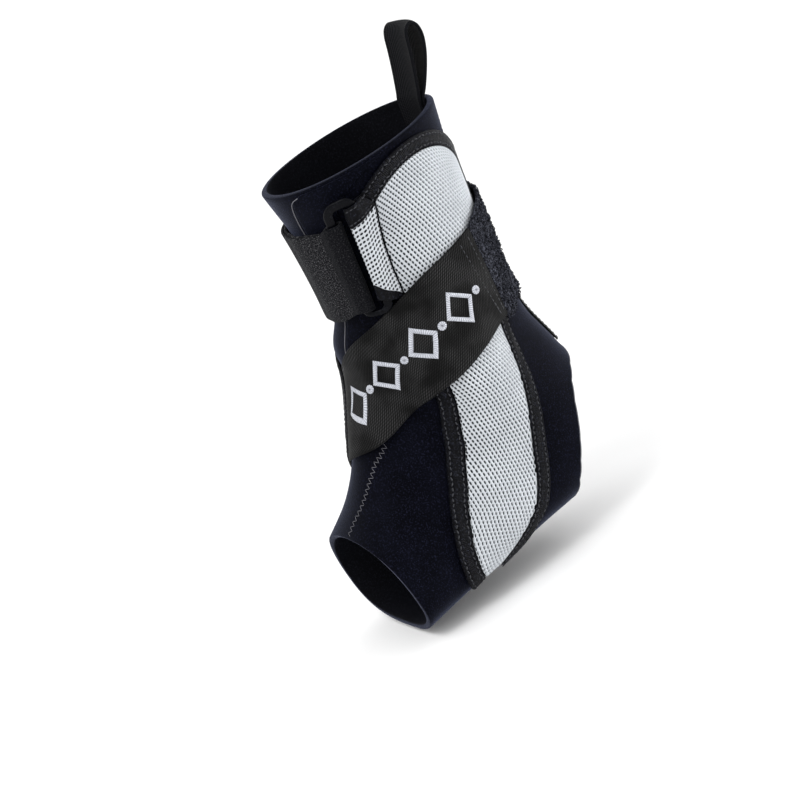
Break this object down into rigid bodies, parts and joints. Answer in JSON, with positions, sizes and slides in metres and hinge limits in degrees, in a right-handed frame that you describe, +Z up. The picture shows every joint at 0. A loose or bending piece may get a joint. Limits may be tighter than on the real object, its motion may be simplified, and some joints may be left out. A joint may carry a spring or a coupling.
{
  "type": "ankle brace",
  "caption": "Soft ankle brace for a right foot with open heel, mesh side panels, a woven strap over the instep, an upper strap through a ring, and a pull loop behind.",
  "frame": {"origin": "middle of the ankle, where the foot and leg sit in the brace", "axes": "+Z up the leg, -Y to the toes, +X to the inner (medial) side"},
  "size_m": [0.0922, 0.1374, 0.2358],
  "materials": {
    "sleeve": "black navy jersey over foam",
    "mesh": "light grey spacer mesh",
    "binding": "black folded binding",
    "webbing": "black twill webbing",
    "pile": "dark grey loop pile",
    "strap": "charcoal elastic",
    "ring": "satin moulded",
    "tape": "black ribbed tape"
  },
  "bodies": {
    "root": {"leg_sleeve_medial": "sleeve", "leg_sleeve_lateral": "sleeve", "foot_sleeve_medial": "sleeve", "foot_sleeve_lateral": "sleeve", "front_flap": "sleeve", "medial_mesh_panel": "mesh", "lateral_mesh_panel": "mesh", "medial_back_binding": "binding", "medial_front_binding": "binding", "lateral_back_binding": "binding", "lateral_front_binding": "binding", "strap_webbing": "webbing", "strap_pile": "pile", "strap_end": "strap", "cinch_ring": "ring", "ring_tab_mesh": "mesh", "ring_tab_top_binding": "binding", "ring_tab_low_binding": "binding", "back_tape": "tape", "pull_loop": "tape"}
  },
  "joints": []
}
